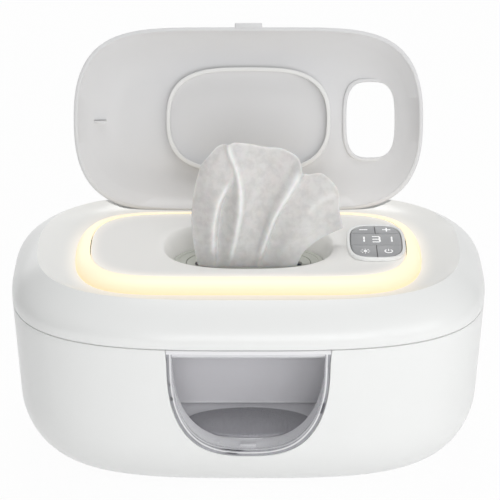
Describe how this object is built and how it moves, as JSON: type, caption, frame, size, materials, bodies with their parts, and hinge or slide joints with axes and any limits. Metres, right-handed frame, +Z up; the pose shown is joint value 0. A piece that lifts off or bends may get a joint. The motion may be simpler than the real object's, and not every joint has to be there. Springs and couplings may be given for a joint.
{
  "type": "baby wipe warmer",
  "caption": "Rounded electric wipe warmer with a clear U-shaped window, a hinged cover with a glowing ring, press buttons, a flip lid and a wipe standing in its slot.",
  "frame": {"origin": "centre of the base plate's flat underside; the rubber feet reach 2 mm below it", "axes": "+X to the right of someone facing the window, +Y to the back, +Z up"},
  "size_m": [0.25, 0.1741, 0.2067],
  "materials": {
    "white_gloss": "smooth white moulded plastic, semi-gloss",
    "white_panel": "satin white moulded plastic",
    "pale_grey": "satin pale grey moulded plastic",
    "ring_diffuser": "translucent warm white diffuser, lit",
    "pad_grey": "smooth mid-grey plastic with white symbols",
    "soft_grey": "matt grey silicone",
    "white_rubber": "matt white silicone",
    "grey_rubber": "matt dark grey rubber",
    "clear": "clear moulded plastic",
    "dark_foam": "dense grey sponge",
    "pack_film": "plain soft packaging film",
    "wipe_fabric": "soft white non-woven sheet",
    "aluminium": "rolled sheet",
    "heater_film": "amber film with an etched track",
    "insulation": "felted white mat",
    "circuit_board": "green solder mask",
    "black_plastic": "matt black plastic",
    "steel": "plated steel"
  },
  "bodies": {
    "base": {"lower_casing": "white_gloss", "cover_hinge_pin_left": "steel", "cover_hinge_pin_right": "steel", "window_pane": "clear", "window_frame": "pale_grey", "inner_tub": "pale_grey", "moistening_pad": "dark_foam", "wipe_pack": "pack_film", "base_plate": "white_gloss", "foot_front_left": "grey_rubber", "foot_front_right": "grey_rubber", "foot_rear_left": "grey_rubber", "foot_rear_right": "grey_rubber", "base_screw_1": "steel", "base_screw_2": "steel", "base_screw_3": "steel", "base_screw_4": "steel", "heating_plate": "aluminium", "heater_film": "heater_film", "insulation_mat": "insulation", "temperature_sensor": "steel", "thermal_fuse": "steel", "power_board": "circuit_board", "inlet_socket": "black_plastic", "inlet_lead": "black_plastic", "heater_lead": "black_plastic", "hinge_lead": "black_plastic"},
    "top_cover": {"upper_casing": "white_gloss", "lid_hinge_pin": "steel", "light_ring": "ring_diffuser", "top_panel": "white_panel", "slot_frame": "soft_grey", "slot_membrane": "soft_grey", "pad_bezel": "white_gloss", "display_lens": "pad_grey", "control_board": "circuit_board", "led_board": "circuit_board", "cover_liner": "pale_grey", "cover_gasket": "soft_grey", "cover_lead": "black_plastic", "wipe": "wipe_fabric"},
    "flip_lid": {"lid_shell": "white_gloss", "lid_seal": "white_rubber"},
    "minus_button": {"button_minus": "pad_grey"},
    "plus_button": {"button_plus": "pad_grey"},
    "light_button": {"button_light": "pad_grey"},
    "power_button": {"button_power": "pad_grey"}
  },
  "joints": [
    {"name": "cover_hinge", "type": "hinge", "parent": "base", "child": "top_cover", "pos_m": [0, 0.083, 0.0955], "axis": [1, 0, 0], "range_deg": [-90, 0]},
    {"name": "lid_hinge", "type": "hinge", "parent": "top_cover", "child": "flip_lid", "pos_m": [0, 0.0511, 0.109], "axis": [1, 0, 0], "range_deg": [0, 112.7], "deforming": ["wipe"]},
    {"name": "button_minus_press", "type": "slide", "parent": "top_cover", "child": "minus_button", "axis": [0, 0, -1], "range_m": [0, 0.0005], "stiffness_N_per_m": 400, "springref_m": -0.0008},
    {"name": "button_plus_press", "type": "slide", "parent": "top_cover", "child": "plus_button", "axis": [0, 0, -1], "range_m": [0, 0.0005], "stiffness_N_per_m": 400, "springref_m": -0.0008},
    {"name": "button_light_press", "type": "slide", "parent": "top_cover", "child": "light_button", "axis": [0, 0, -1], "range_m": [0, 0.0005], "stiffness_N_per_m": 400, "springref_m": -0.0008},
    {"name": "button_power_press", "type": "slide", "parent": "top_cover", "child": "power_button", "axis": [0, 0, -1], "range_m": [0, 0.0005], "stiffness_N_per_m": 400, "springref_m": -0.0008}
  ]
}
